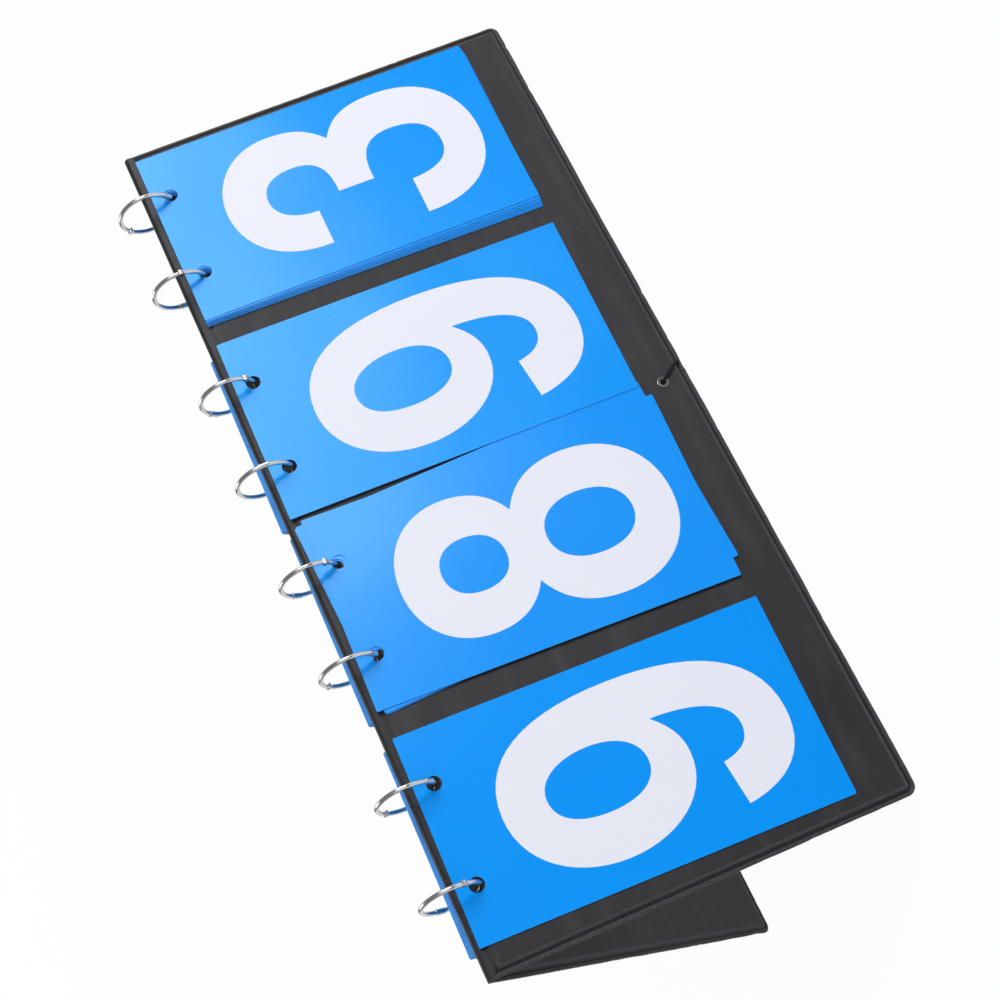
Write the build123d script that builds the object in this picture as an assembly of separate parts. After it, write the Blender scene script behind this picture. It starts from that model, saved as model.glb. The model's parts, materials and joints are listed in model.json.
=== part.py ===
"""Tabletop flip scoreboard: an A-frame of two vinyl-covered boards that carries four stacks of
number cards on eight hinged steel rings.

Units are millimetres and degrees. +X runs along the board in reading direction, the front face
looks towards -Y, and +Z is up. The origin is on the table, under the middle of the fold.

Page frame: each panel and card is drawn as a reader sees it, with x to the right, y up the slope
from the panel's top edge and z out of the page, then placed on the front or the back slope.
"""

from build123d import *
import math
import os

# ---- Panels -------------------------------------------------------------------------------
opening_angle = 43.5
board_thickness = 2.0
vinyl_thickness = 0.5
weld_width = 3.5
panel_corner_radius = 4.0
board_corner_radius = 2.0
vinyl_edge_radius = 0.8
closing_gap = 0.2

# ---- Rings --------------------------------------------------------------------------------
ring_radius = 11.85
wire_radius = 0.95
lug_radius = 1.25
lug_relief_radius = 1.45
lug_face_gap = 0.1
rivet_radius = 0.45
rivet_clearance = 0.05
rivet_head_radius = 0.85
rivet_head_height = 0.15
rivet_head_gap = 0.05
clasp_collar_radius = 1.22
clasp_collar_length = 2.6
clasp_tip_length = 1.3
clasp_face_gap = 0.06
clasp_tongue_radius = 0.5
clasp_tongue_length = 1.5
clasp_tongue_clearance = 0.12
panel_hole_radius = 3.1
ring_seat_gap = 0.5
ring_rise = 2.0

# ---- Cards --------------------------------------------------------------------------------
card_width = 85.4
card_height = 148.8
card_thickness = 0.32
card_pitch = 0.38
card_to_panel_gap = 0.1
card_corner_radius = 0.6
card_hole_radius = 3.0
card_hole_spacing = 41.3
card_hole_to_top = 7.9
card_drop = 1.0

# ---- Layout on the board ------------------------------------------------------------------
middle_gap = 2.9
tens_to_units_gap = 11.05
end_margin = 9.2
layout_shift = 2.3
card_foot_to_eyelet = 5.1

# ---- Stay cord and its eyelets ------------------------------------------------------------
eyelet_to_bottom = 11.15
eyelet_bore_radius = 1.35
eyelet_wall = 0.3
eyelet_hole_clearance = 0.05
eyelet_flange_radius = 2.4
eyelet_flange_height = 0.45
eyelet_edge_radius = 0.2
cord_radius = 0.6
cord_notch_offset = 7.1
cord_notch_width = 1.8
cord_notch_depth = 2.4
cord_bend_share = 0.45
knot_radius = 1.7
knot_flat_share = 0.8

# ---- Sizes that follow --------------------------------------------------------------------
half_angle = opening_angle / 2
lean_sin = math.sin(math.radians(half_angle))
lean_cos = math.cos(math.radians(half_angle))
panel_thickness = board_thickness + 2 * vinyl_thickness
hinge_offset = (panel_thickness + closing_gap) / 2
inner_stack_offset = (middle_gap + card_width) / 2
outer_stack_offset = inner_stack_offset + card_width + tens_to_units_gap
panel_length = 2 * (outer_stack_offset + card_width / 2 + end_margin)
lowest_card_height = panel_thickness / 2 + card_to_panel_gap + card_pitch / 2
ring_page_depth = hinge_offset - ring_rise * lean_sin
ring_page_rise = ring_rise * lean_cos
lowest_wire_reach = math.sqrt(ring_radius**2 - (ring_page_depth + lowest_card_height) ** 2)
lowest_wire_drop = lowest_wire_reach - ring_page_rise
card_foot_drop = lowest_wire_drop + card_drop + card_height - card_hole_to_top
eyelet_drop = card_foot_drop + card_foot_to_eyelet + eyelet_flange_radius
panel_height = eyelet_drop + eyelet_to_bottom
apex_height = panel_height * lean_cos
hinge_height = apex_height - hinge_offset * lean_sin
eyelet_barrel_radius = eyelet_bore_radius + eyelet_wall
eyelet_hole_radius = eyelet_barrel_radius + eyelet_hole_clearance
eyelet_face = panel_thickness / 2 + eyelet_flange_height
panel_hole_drop = ring_radius + wire_radius + ring_seat_gap - panel_hole_radius - ring_page_rise

hinge = Pos(0, 0, hinge_height)
front_page = Plane(
    origin=(0, -hinge_offset * lean_cos, apex_height),
    x_dir=(1, 0, 0),
    z_dir=(0, -lean_cos, lean_sin),
).location
back_page = Rot(0, 0, 180) * front_page
pages = {"front": front_page, "back": back_page}

# ---- Stacks: each shows one digit; lower digits have been flipped to the back ------------------
# front_places gives each front card's (turn, shift across, shift up) within its play on the rings,
# outermost card first; back_skews gives the back cards' turns. A positive turn moves the card's
# lower end towards the reader's right. first_level is the lowest card's place above the front
# panel: the right tens lie on the corners of the cards beside them.
# Clasp angles are measured round the ring from straight down, positive towards the front.
stacks = {
    "left_tens": {
        "centre": layout_shift - outer_stack_offset,
        "shows": 9,
        "first_level": 1,
        "front_places": [(-1.3, 0.0, 0.9)],
        "back_skews": [1.35, 1.2, 1.1, 1.2, 1.05, 1.2, 1.15, 1.1, 1.2],
        "clasps": {"a": -95, "b": 64},
    },
    "left_units": {
        "centre": layout_shift - inner_stack_offset,
        "shows": 8,
        "first_level": 1,
        "front_places": [(-2.0, 0.6, -0.6), (1.7, -0.6, -0.4), (2.3, -1.0, -0.2)],
        "back_skews": [1.2, 1.15, 1.0, 1.2, 1.1, 1.2, 1.05, 1.15],
        "clasps": {"a": 60, "b": -105},
    },
    "right_tens": {
        "centre": layout_shift + inner_stack_offset,
        "shows": 9,
        "first_level": 3,
        "front_places": [(-0.8, 0.0, 0.7)],
        "back_skews": [1.3, 1.1, 1.2, 1.15, 0.9, 1.2, 1.0, 1.2, 1.1],
        "clasps": {"a": 112, "b": -112},
    },
    "right_units": {
        "centre": layout_shift + outer_stack_offset,
        "shows": 3,
        "first_level": 1,
        "front_places": [
            (-0.05, 1.0, -0.5),
            (-0.25, 0.3, -0.5),
            (-0.5, 0.0, -0.5),
            (-0.65, -0.3, -0.5),
            (-0.8, -0.5, -0.5),
            (-0.95, -0.8, -0.5),
            (-1.05, -1.0, -0.5),
        ],
        "back_skews": [-0.5, 0.3, -0.2],
        "clasps": {"a": -75, "b": 62},
    },
}
ring_sides = {"a": -card_hole_spacing / 2, "b": card_hole_spacing / 2}


def level_height(level):
    """Distance of a card's middle from its panel's middle; level 1 lies on the panel."""
    return lowest_card_height + (level - 1) * card_pitch


def wire_drop(height):
    """How far below the panel's top edge the ring's wire crosses a plane at this height."""
    return math.sqrt(ring_radius**2 - (ring_page_depth + height) ** 2) - ring_page_rise


def cylinder_x(radius, low, high):
    """A cylinder about the X axis from x = low to x = high."""
    length = high - low
    return Pos((low + high) / 2, 0, 0) * Rot(0, 90, 0) * Cylinder(radius, length)


def ring_places():
    """The x of each ring, by stack and side."""
    return {
        (name, side): stack["centre"] + offset
        for name, stack in stacks.items()
        for side, offset in ring_sides.items()
    }


# ---- Panels -------------------------------------------------------------------------------


def panel_outline(inset, bottom_corner_radius, top_corner_radius=0.0, extra_foot=0.0):
    """The panel's outline in the page frame, drawn in by inset on every side."""
    width = panel_length - 2 * inset
    height = panel_height - 2 * inset + extra_foot
    outline = Rectangle(width, height)
    corners = outline.vertices().sort_by(Axis.Y)
    outline = fillet(corners[:2], bottom_corner_radius)
    if top_corner_radius > 0:
        corners = outline.vertices().sort_by(Axis.Y)
        outline = fillet(corners[-2:], top_corner_radius)
    return Pos(0, -inset - height / 2) * outline


def board_solid():
    inset = weld_width + vinyl_thickness
    outline = panel_outline(inset, board_corner_radius, board_corner_radius)
    return Pos(0, 0, -board_thickness / 2) * extrude(outline, board_thickness)


def punched(solid, side):
    """Cut the ring holes and the eyelet's hole through a layer of the panel."""
    reader = 1 if side == "front" else -1
    for x in ring_places().values():
        solid -= Pos(reader * x, -panel_hole_drop) * Cylinder(panel_hole_radius, 3 * panel_thickness)
    return solid - Pos(0, -eyelet_drop) * Cylinder(eyelet_hole_radius, 3 * panel_thickness)


def vinyl_sheet():
    """The outer sheet: a welded rim with a raised tray that holds half the board."""
    foot = vinyl_thickness
    rim = extrude(panel_outline(0, panel_corner_radius, extra_foot=foot), vinyl_thickness)
    tray_outline = panel_outline(weld_width, panel_corner_radius, panel_corner_radius)
    tray = extrude(tray_outline, panel_thickness / 2)
    tray = fillet(tray.faces().sort_by(Axis.Z)[-1].edges(), vinyl_edge_radius)
    notch_drop = panel_height + foot - (cord_notch_depth + foot) / 2
    notch = Pos(cord_notch_offset, -notch_drop) * Box(
        cord_notch_width, cord_notch_depth + foot, 4 * vinyl_thickness
    )
    return rim + tray - board_solid() - notch


def placed_panel_layer(layer, side):
    """Punch a layer, set it on its slope and trim its foot level with the table."""
    below_table = Pos(0, 0, -panel_height / 2) * Box(2 * panel_length, 2 * panel_height, panel_height)
    return pages[side] * punched(layer, side) - below_table


def mirrored_sheet():
    return mirror(vinyl_sheet(), about=Plane.XY)


def spine_strip():
    """The fold between the panels: a curved strip of both sheets, centred on the hinge line."""
    strip = cylinder_x(hinge_offset + vinyl_thickness, -panel_length / 2, panel_length / 2)
    strip -= cylinder_x(hinge_offset - vinyl_thickness, -panel_length, panel_length)
    strip = hinge * strip
    below_top_edge = Pos(0, -panel_height / 2, 0) * Box(2 * panel_length, panel_height, panel_height)
    for page in pages.values():
        strip -= page * below_top_edge
    return strip


# ---- Eyelets, cord and knots --------------------------------------------------------------


def eyelet():
    """A rolled metal eyelet with a flange on each face of the panel."""
    flange = Cylinder(eyelet_flange_radius, eyelet_flange_height)
    rims = flange.edges().filter_by(GeomType.CIRCLE).sort_by(Axis.Z)
    flange = fillet(rims[-1], eyelet_edge_radius)
    lift = panel_thickness / 2 + eyelet_flange_height / 2
    top = Pos(0, 0, lift) * flange
    bottom = Rot(180, 0, 0) * top
    barrel = Cylinder(eyelet_barrel_radius, panel_thickness)
    solid = top + bottom + barrel - Cylinder(eyelet_bore_radius, 4 * panel_thickness)
    return Pos(0, -eyelet_drop) * solid


def knot():
    """The stopper knot inside the panel, seated flat on the eyelet."""
    centre = -eyelet_face - knot_flat_share * knot_radius
    ball = Pos(0, 0, centre) * Sphere(knot_radius)
    clear = Pos(0, 0, -eyelet_face + knot_radius) * Box(
        4 * knot_radius, 4 * knot_radius, 2 * knot_radius
    )
    return Pos(0, -eyelet_drop) * (ball - clear)


def cord_route():
    """Points of the cord from the front knot, round the foot and across to the back knot."""
    page_points = [
        (0.0, -eyelet_drop, -eyelet_face),
        (0.0, -eyelet_drop, 2.8),
        (cord_notch_offset - 0.8, -eyelet_drop - 6.7, 2.5),
        (cord_notch_offset, -panel_height + 1.4, 1.3),
        (cord_notch_offset, -panel_height + 1.4, -0.9),
    ]
    front = [(front_page * Pos(*point)).position for point in page_points]
    back = [Vector(-point.X, -point.Y, point.Z) for point in reversed(front)]
    return front + back


def cord_bends(points):
    """Bend radius at each inner point: as large as its two runs allow."""
    radii = []
    for before, here, after in zip(points, points[1:], points[2:]):
        run = min((here - before).length, (after - here).length)
        turn = math.radians((here - before).get_angle(after - here))
        radii.append(cord_bend_share * run / math.tan(turn / 2))
    return radii


def stay_cord():
    """The cord's tube: straight runs joined by tangent arcs."""
    points = cord_route()
    radii = cord_bends(points)
    path = FilletPolyline(*points, radius=radii)
    section = Plane(origin=path @ 0, z_dir=path % 0) * Circle(cord_radius)
    tube = sweep(section, path=path)
    print("cord length", round(path.length, 1), "bends", [round(radius, 2) for radius in radii])
    print("cord volume", round(tube.volume, 2), "of", round(path.length * section.area, 2))
    return tube


# ---- Rings --------------------------------------------------------------------------------
# A ring is drawn with its clasp at the front and its rivet at the back, both level with the
# centre, and then turned so that its clasp stands at the wanted angle. The rings' common centre
# line stands ring_rise above the hinge line.


def half_space(sign, gap=0.0):
    size = 4 * ring_radius
    return Pos(0, 0, sign * (size / 2 + gap)) * Box(size, size, size)


def wire_half(sign, gap=0.0):
    torus = Rot(0, 90, 0) * Torus(ring_radius, wire_radius)
    return torus & half_space(sign, gap)


def lapped(half, sign):
    """Give a half ring its lug for the rivet; sign is the side of the ring it laps."""
    inner = sign * lug_face_gap / 2
    outer = sign * wire_radius
    beyond = -sign * 2 * wire_radius
    relief = cylinder_x(lug_relief_radius, min(beyond, inner), max(beyond, inner))
    lug = cylinder_x(lug_radius, min(inner, outer), max(inner, outer))
    bore = cylinder_x(rivet_radius + rivet_clearance, -2 * wire_radius, 2 * wire_radius)
    at_rivet = Pos(0, ring_radius, 0)
    return half - at_rivet * relief + at_rivet * lug - at_rivet * bore


def clasp_cylinder(radius, low, high):
    return Pos(0, -ring_radius, (low + high) / 2) * Cylinder(radius, high - low)


def ring_lower_half():
    half = lapped(wire_half(-1), -1)
    half += clasp_cylinder(clasp_collar_radius, -clasp_collar_length, 0)
    socket_radius = clasp_tongue_radius + clasp_tongue_clearance
    return half - clasp_cylinder(socket_radius, -clasp_tongue_length - clasp_tongue_clearance, 1)


def ring_upper_half():
    half = lapped(wire_half(1, clasp_face_gap / 2), 1)
    half -= clasp_cylinder(2 * wire_radius, -1, clasp_face_gap)
    half += clasp_cylinder(clasp_collar_radius, clasp_face_gap, clasp_tip_length)
    return half + clasp_cylinder(clasp_tongue_radius, -clasp_tongue_length, clasp_tip_length)


def ring_rivet():
    head_face = wire_radius + rivet_head_gap
    end = head_face + rivet_head_height
    rivet = cylinder_x(rivet_radius, -end, end)
    rivet += cylinder_x(rivet_head_radius, head_face, end)
    rivet += cylinder_x(rivet_head_radius, -end, -head_face)
    return Pos(0, ring_radius, 0) * rivet


def ring_turn(clasp_angle):
    """Turn a ring so that its clasp stands clasp_angle from straight down."""
    if clasp_angle > 0:
        return Rot(90 - clasp_angle, 0, 0)
    return Rot(-90 - clasp_angle, 0, 0) * Rot(0, 0, 180)


def placed_ring(solid, name, side):
    x = ring_places()[(name, side)]
    return Pos(x, 0, hinge_height + ring_rise) * ring_turn(stacks[name]["clasps"][side]) * solid


# ---- Cards --------------------------------------------------------------------------------


def card():
    """One card, its origin midway between the two holes."""
    outline = RectangleRounded(card_width, card_height, card_corner_radius)
    outline = Pos(0, card_hole_to_top - card_height / 2) * outline
    for offset in ring_sides.values():
        outline -= Pos(offset, 0) * Circle(card_hole_radius)
    return Pos(0, 0, -card_thickness / 2) * extrude(outline, card_thickness)


def card_places(name, side):
    """The (turn, shift across, shift up) of the cards on one side of a stack, outermost first."""
    stack = stacks[name]
    if side == "front":
        return stack["front_places"]
    return [(skew, 0.0, -card_drop) for skew in stack["back_skews"]]


def placed_card(solid, name, side, level, place):
    stack = stacks[name]
    skew, across, up = place
    x = stack["centre"] if side == "front" else -stack["centre"]
    height = level_height(level)
    return pages[side] * Pos(x + across, up - wire_drop(height), height) * Rot(0, 0, skew) * solid


def card_pile(solid, name, side):
    """The cards on one side of a stack, outermost first."""
    places = card_places(name, side)
    base = stacks[name]["first_level"] if side == "front" else 1
    top = base + len(places) - 1
    return [placed_card(solid, name, side, top - i, place) for i, place in enumerate(places)]


# ---- Writing ------------------------------------------------------------------------------


def all_nodes():
    nodes = {}
    board = board_solid()
    sheet = vinyl_sheet()
    inner_sheet = mirrored_sheet()
    for side in pages:
        nodes[side + "_outer_vinyl"] = placed_panel_layer(sheet, side)
        nodes[side + "_board"] = placed_panel_layer(board, side)
        nodes[side + "_inner_vinyl"] = placed_panel_layer(inner_sheet, side)
        nodes[side + "_eyelet"] = pages[side] * eyelet()
        nodes[side + "_knot"] = pages[side] * knot()
    nodes["spine_strip"] = spine_strip()
    nodes["stay_cord"] = stay_cord()

    ring_parts = {
        "lower_half": ring_lower_half(),
        "upper_half": ring_upper_half(),
        "rivet": ring_rivet(),
    }
    for name, side in ring_places():
        for part, solid in ring_parts.items():
            nodes[f"{name}_ring_{side}_{part}"] = placed_ring(solid, name, side)

    one_card = card()
    for name, stack in stacks.items():
        shown = stack["shows"]
        front = card_pile(one_card, name, "front")
        back = card_pile(one_card, name, "back")
        nodes[f"{name}_front_card_{shown}"] = front[0]
        nodes[f"{name}_back_card_{shown - 1}"] = back[0]
        if len(front) > 1:
            nodes[f"{name}_front_pile"] = Compound(children=front[1:])
        nodes[f"{name}_back_pile"] = Compound(children=back[1:])
    return nodes


def main():
    os.makedirs("parts", exist_ok=True)
    for node, solid in all_nodes().items():
        export_step(solid, f"parts/{node}.step")


main()
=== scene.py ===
"""Tabletop flip scoreboard: two vinyl-covered boards in an A-frame, four stacks of number cards on
hinged steel rings, and a stay cord between the feet.

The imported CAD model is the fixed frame. Names that end in _MM are millimetres, and every object is
built in metres. Page frame: a panel or card as its reader sees it, x to the right, y up the slope
from the panel's top edge, z out of the page.
"""

import json
import math

import bmesh
import bpy
from mathutils import Matrix, Vector, noise


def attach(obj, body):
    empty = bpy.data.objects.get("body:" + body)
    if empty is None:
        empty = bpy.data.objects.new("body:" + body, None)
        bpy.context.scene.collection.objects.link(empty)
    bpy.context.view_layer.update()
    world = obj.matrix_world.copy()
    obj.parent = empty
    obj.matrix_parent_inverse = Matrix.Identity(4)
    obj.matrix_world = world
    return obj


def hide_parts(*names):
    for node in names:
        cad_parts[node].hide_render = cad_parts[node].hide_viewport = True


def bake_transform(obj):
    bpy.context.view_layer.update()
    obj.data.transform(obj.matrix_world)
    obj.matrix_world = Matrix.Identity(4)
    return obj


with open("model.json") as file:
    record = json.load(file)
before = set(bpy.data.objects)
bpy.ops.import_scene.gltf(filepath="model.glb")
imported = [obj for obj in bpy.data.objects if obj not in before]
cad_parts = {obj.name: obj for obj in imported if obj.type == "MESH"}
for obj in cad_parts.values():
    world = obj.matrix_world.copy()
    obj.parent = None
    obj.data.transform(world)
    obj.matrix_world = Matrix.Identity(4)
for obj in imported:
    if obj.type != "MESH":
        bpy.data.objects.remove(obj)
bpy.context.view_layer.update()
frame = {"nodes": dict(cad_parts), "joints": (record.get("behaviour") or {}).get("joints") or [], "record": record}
nodes = frame["nodes"]
MM = 0.001

# ---- Sizes shared with the part -------------------------------------------------------------
LEAN = math.radians(43.5 / 2)
HINGE_OFFSET_MM = 1.6
PANEL_LENGTH_MM = 385.0
PANEL_HEIGHT_MM = 170.2425
PANEL_CORNER_MM = 4.0
VINYL_MM = 0.5
BOARD_MM = 2.0
PANEL_HALF_MM = BOARD_MM / 2 + VINYL_MM
PANEL_HOLE_MM = 3.1
PANEL_HOLE_DROP_MM = 8.3424
RING_RADIUS_MM = 11.85
RING_RISE_MM = 2.0
CARD_HOLE_SPACING_MM = 41.3
CARD_MM = 0.32
CARD_PITCH_MM = 0.38
BACK_CARD_DROP_MM = 1.0
LOWEST_CARD_MM = 1.79
EYELET_DROP_MM = 159.0925
EYELET_HOLE_MM = 1.7
EYELET_FACE_MM = 1.95
CORD_MM = 1.2
CORD_NOTCH_MM = 7.1
KNOT_SEAT_MM = 1.36

fold = next(joint for joint in frame["joints"] if joint["name"] == "panel_fold")
HINGE_HEIGHT_MM = fold["pos_m"][2] / MM
APEX_HEIGHT_MM = HINGE_HEIGHT_MM + HINGE_OFFSET_MM * math.sin(LEAN)

# Each stack: its middle across the board, then the level, turn, shift across and shift up of the
# cards whose faces can be seen. A print is the numeral's shift across and up on its card, and its
# turn.
STACKS = {
    "left_tens": {
        "centre": -138.3,
        "shows": 9,
        "front": (1, -1.3, 0.0, 0.9),
        "back": (9, 1.35, 0.0, -BACK_CARD_DROP_MM),
        "back_pile": (8, 1.2, 0.0, -BACK_CARD_DROP_MM),
        "print": (0.11, -0.66, -0.2),
    },
    "left_units": {
        "centre": -41.85,
        "shows": 8,
        "front": (3, -2.0, 0.6, -0.6),
        "front_pile": (2, 1.7, -0.6, -0.4),
        "back": (8, 1.2, 0.0, -BACK_CARD_DROP_MM),
        "back_pile": (7, 1.15, 0.0, -BACK_CARD_DROP_MM),
        "print": (0.5, -0.15, -0.2),
    },
    "right_tens": {
        "centre": 46.45,
        "shows": 9,
        "front": (3, -0.8, 0.0, 0.7),
        "back": (9, 1.3, 0.0, -BACK_CARD_DROP_MM),
        "back_pile": (8, 1.1, 0.0, -BACK_CARD_DROP_MM),
        "print": (-0.51, -0.68, 0.3),
    },
    "right_units": {
        "centre": 142.9,
        "shows": 3,
        "front": (7, -0.05, 1.0, -0.5),
        "front_pile": (6, -0.25, 0.3, -0.5),
        "back": (3, -0.5, 0.0, -BACK_CARD_DROP_MM),
        "back_pile": (2, 0.3, 0.0, -BACK_CARD_DROP_MM),
        "print": (2.6, -1.1, -0.85),
    },
}
RING_X_MM = [
    stack["centre"] + side * CARD_HOLE_SPACING_MM / 2
    for stack in STACKS.values()
    for side in (-1, 1)
]


def page_frame(side):
    """Page coordinates in millimetres to the row frame in metres."""
    up = Vector((0, math.sin(LEAN), math.cos(LEAN)))
    out = Vector((0, -math.cos(LEAN), math.sin(LEAN)))
    origin = Vector((0, -HINGE_OFFSET_MM * math.cos(LEAN), APEX_HEIGHT_MM))
    page = Matrix.Identity(4)
    for column, axis in enumerate((Vector((1, 0, 0)), up, out, origin)):
        for row in range(3):
            page[row][column] = axis[row] * MM
    return page if side == "front" else Matrix.Rotation(math.pi, 4, "Z") @ page


def card_frame(side, stack, place):
    """A card's own frame, its origin midway between its holes, to the row frame."""
    level, skew, across, up = place
    height = LOWEST_CARD_MM + (level - 1) * CARD_PITCH_MM
    depth = HINGE_OFFSET_MM + height - RING_RISE_MM * math.sin(LEAN)
    drop = math.sqrt(RING_RADIUS_MM**2 - depth**2) - RING_RISE_MM * math.cos(LEAN)
    x = stack["centre"] if side == "front" else -stack["centre"]
    turn = Matrix.Rotation(math.radians(skew), 4, "Z")
    return page_frame(side) @ Matrix.Translation((x + across, up - drop, height)) @ turn


# ---- Shader building ------------------------------------------------------------------------


def shader_group(name, inputs, outputs):
    """An empty shader group with named sockets; returns the group, its input and output nodes."""
    group = bpy.data.node_groups.new(name, "ShaderNodeTree")
    for label, kind, value in inputs:
        socket = group.interface.new_socket(name=label, in_out="INPUT", socket_type=kind)
        socket.default_value = value
    for label, kind in outputs:
        group.interface.new_socket(name=label, in_out="OUTPUT", socket_type=kind)
    return group, group.nodes.new("NodeGroupInput"), group.nodes.new("NodeGroupOutput")


def add_node(tree, kind, links=None, **settings):
    """Add a shader node; links maps its input names to sockets or plain values."""
    node = tree.nodes.new("ShaderNode" + kind)
    for key, value in settings.items():
        setattr(node, key, value)
    for key, value in (links or {}).items():
        if isinstance(value, bpy.types.NodeSocket):
            tree.links.new(value, node.inputs[key])
        else:
            node.inputs[key].default_value = value
    return node


def combine(tree, operation, first, second):
    """The result of a Math node on two sockets or plain numbers."""
    return add_node(tree, "Math", {0: first, 1: second}, operation=operation).outputs["Value"]


def clouds_of(tree, where, scale, detail):
    """Soft noise between 0 and 1 at the coordinates of a socket."""
    settings = {"Vector": where, "Scale": scale, "Detail": detail}
    return add_node(tree, "TexNoise", settings).outputs["Fac"]


def set_range(tree, value, low, high, start=0.0, end=1.0):
    """Carry a value from start..end over to low..high."""
    return add_node(
        tree,
        "MapRange",
        {"Value": value, "From Min": start, "From Max": end, "To Min": low, "To Max": high},
    ).outputs["Result"]


def speckle_group():
    """Sparse dust and pinholes: a mask that is 1 on small soft spots."""
    group, given, result = shader_group(
        "dust_speckle",
        [
            ("Vector", "NodeSocketVector", (0, 0, 0)),
            ("Scale", "NodeSocketFloat", 400.0),
            ("Coverage", "NodeSocketFloat", 0.05),
        ],
        [("Mask", "NodeSocketFloat")],
    )
    spots = add_node(
        group, "TexVoronoi", {"Vector": given.outputs["Vector"], "Scale": given.outputs["Scale"]}
    )
    patches = clouds_of(group, given.outputs["Vector"], 60.0, 2.0)
    edge = set_range(group, spots.outputs["Distance"], 1.0, 0.0, 0.0, given.outputs["Coverage"])
    where = set_range(group, patches, 0.0, 1.0, 0.52, 0.62)
    group.links.new(combine(group, "MULTIPLY", edge, where), result.inputs["Mask"])
    return group


def waviness_group():
    """The slow unevenness of a flat sheet, for the Height of a Bump."""
    group, given, result = shader_group(
        "sheet_waviness",
        [
            ("Vector", "NodeSocketVector", (0, 0, 0)),
            ("Scale", "NodeSocketFloat", 12.0),
            ("Fine Scale", "NodeSocketFloat", 900.0),
            ("Fine Share", "NodeSocketFloat", 0.02),
        ],
        [("Height", "NodeSocketFloat")],
    )
    slow = clouds_of(group, given.outputs["Vector"], given.outputs["Scale"], 1.0)
    fine = clouds_of(group, given.outputs["Vector"], given.outputs["Fine Scale"], 3.0)
    share = combine(group, "MULTIPLY", fine, given.outputs["Fine Share"])
    group.links.new(combine(group, "ADD", slow, share), result.inputs["Height"])
    return group


RUB_TURNS = (0.35, 1.25, 2.3)


def rubbing_group():
    """Fine crossed hairlines where a surface has been handled."""
    group, given, result = shader_group(
        "rub_marks",
        [
            ("Vector", "NodeSocketVector", (0, 0, 0)),
            ("Scale", "NodeSocketFloat", 30.0),
            ("Stretch", "NodeSocketFloat", 14.0),
        ],
        [("Mask", "NodeSocketFloat")],
    )
    lines = None
    for turn in RUB_TURNS:
        squeeze = add_node(group, "CombineXYZ", {"X": 1.0, "Y": 1.0, "Z": 1.0})
        group.links.new(given.outputs["Stretch"], squeeze.inputs["X"])
        placed = add_node(
            group,
            "Mapping",
            {
                "Vector": given.outputs["Vector"],
                "Rotation": (0.4 * turn, 0.2, turn),
                "Scale": squeeze.outputs["Vector"],
            },
        )
        streaks = add_node(
            group,
            "TexNoise",
            {
                "Vector": placed.outputs["Vector"],
                "Scale": given.outputs["Scale"],
                "Detail": 4.0,
                "Roughness": 0.62,
            },
        )
        line = set_range(group, streaks.outputs["Fac"], 0.0, 1.0, 0.63, 0.72)
        lines = line if lines is None else combine(group, "MAXIMUM", lines, line)
    patches = clouds_of(group, given.outputs["Vector"], 22.0, 2.0)
    where = set_range(group, patches, 0.0, 1.0, 0.5, 0.68)
    group.links.new(combine(group, "MULTIPLY", lines, where), result.inputs["Mask"])
    return group


DUST = speckle_group()
WAVINESS = waviness_group()
RUB_MARKS = rubbing_group()


def new_material(name, **surface):
    """A material with one Principled surface; surface gives its plain socket values."""
    material = bpy.data.materials.new(name)
    material.use_nodes = True
    tree = material.node_tree
    shader = tree.nodes["Principled BSDF"]
    for socket, value in surface.items():
        shader.inputs[socket.replace("_", " ")].default_value = value
    place = tree.nodes.new("ShaderNodeTexCoord")
    return material, tree, shader, place


def place_group(tree, group, where, **values):
    """Place an effect on a material; where is the socket of its coordinates."""
    node = tree.nodes.new("ShaderNodeGroup")
    node.node_tree = group
    tree.links.new(where, node.inputs["Vector"])
    for label, value in values.items():
        node.inputs[label.replace("_", " ")].default_value = value
    return node


def mix_colour(tree, mask, plain, marked):
    """Plain colour where the mask is 0, marked where it is 1."""
    mix = add_node(tree, "Mix", {"Factor": mask, 6: plain, 7: marked}, data_type="RGBA")
    return mix.outputs[2]


def connect_bump(tree, shader, height, distance, strength=1.0):
    bump = add_node(tree, "Bump", {"Height": height, "Distance": distance, "Strength": strength})
    tree.links.new(bump.outputs["Normal"], shader.inputs["Normal"])


VINYL_DEEP = (0.0165, 0.0160, 0.0195, 1)
VINYL_PALE = (0.024, 0.023, 0.0270, 1)
VINYL_DRAGGED = (0.038, 0.037, 0.042, 1)
VINYL_RUBBED = (0.06, 0.058, 0.061, 1)
VINYL_DUST = (0.16, 0.155, 0.15, 1)
# Painted shade: the groove's colour is darkened to stand in for the shade that falls in it.
GROOVE_PAINTED_SHADE = (0.003, 0.003, 0.0035, 1)
# Painted highlight: a paler band on the shoulder over the board's edge stands in for the light it catches.
SHOULDER_HIGHLIGHT_DEEP, SHOULDER_HIGHLIGHT_PALE = (0.030, 0.029, 0.034, 1), (0.072, 0.070, 0.078, 1)
RIM_DEEP, RIM_PALE = (0.012, 0.0115, 0.0135, 1), (0.070, 0.068, 0.073, 1)


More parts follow.
